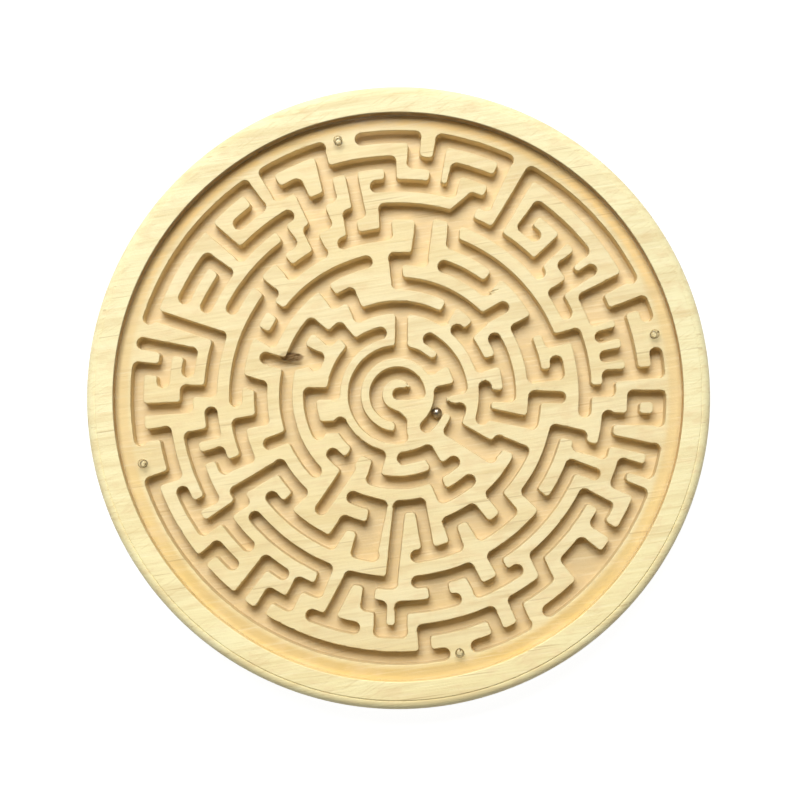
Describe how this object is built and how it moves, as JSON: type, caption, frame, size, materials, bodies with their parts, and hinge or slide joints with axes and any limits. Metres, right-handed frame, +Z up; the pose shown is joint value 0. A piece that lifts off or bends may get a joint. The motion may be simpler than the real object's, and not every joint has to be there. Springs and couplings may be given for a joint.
{
  "type": "tilt maze game",
  "caption": "Round hand-held ball maze: a thick wooden disc milled with concentric channels, a clear cover pinned in a recess, and a loose steel ball.",
  "frame": {"origin": "centre of the flat underside, where the disc's axis meets the surface it lies on", "axes": "+Z up along the disc's axis, through the open side of the maze; +X to the right and +Y away from a player who faces the maze as it is shown, with the ball's slot at the right of the centre"},
  "size_m": [0.202, 0.202, 0.017],
  "materials": {
    "wood": "pale, waxed, machined with visible scratches",
    "cover": "clear polished acrylic sheet",
    "pin": "translucent natural nylon",
    "ball": "polished steel"
  },
  "bodies": {
    "maze": {"maze_body": "wood", "clear_cover": "cover", "cover_pin_1": "pin", "cover_pin_2": "pin", "cover_pin_3": "pin", "cover_pin_4": "pin"},
    "ball": {"steel_ball": "ball"}
  },
  "joints": [
    {"name": "ball_roll", "type": "hinge", "parent": "maze", "child": "ball", "pos_m": [0, 0, 0.00945], "axis": [0, 0, 1], "range_deg": [-22, 26]}
  ]
}
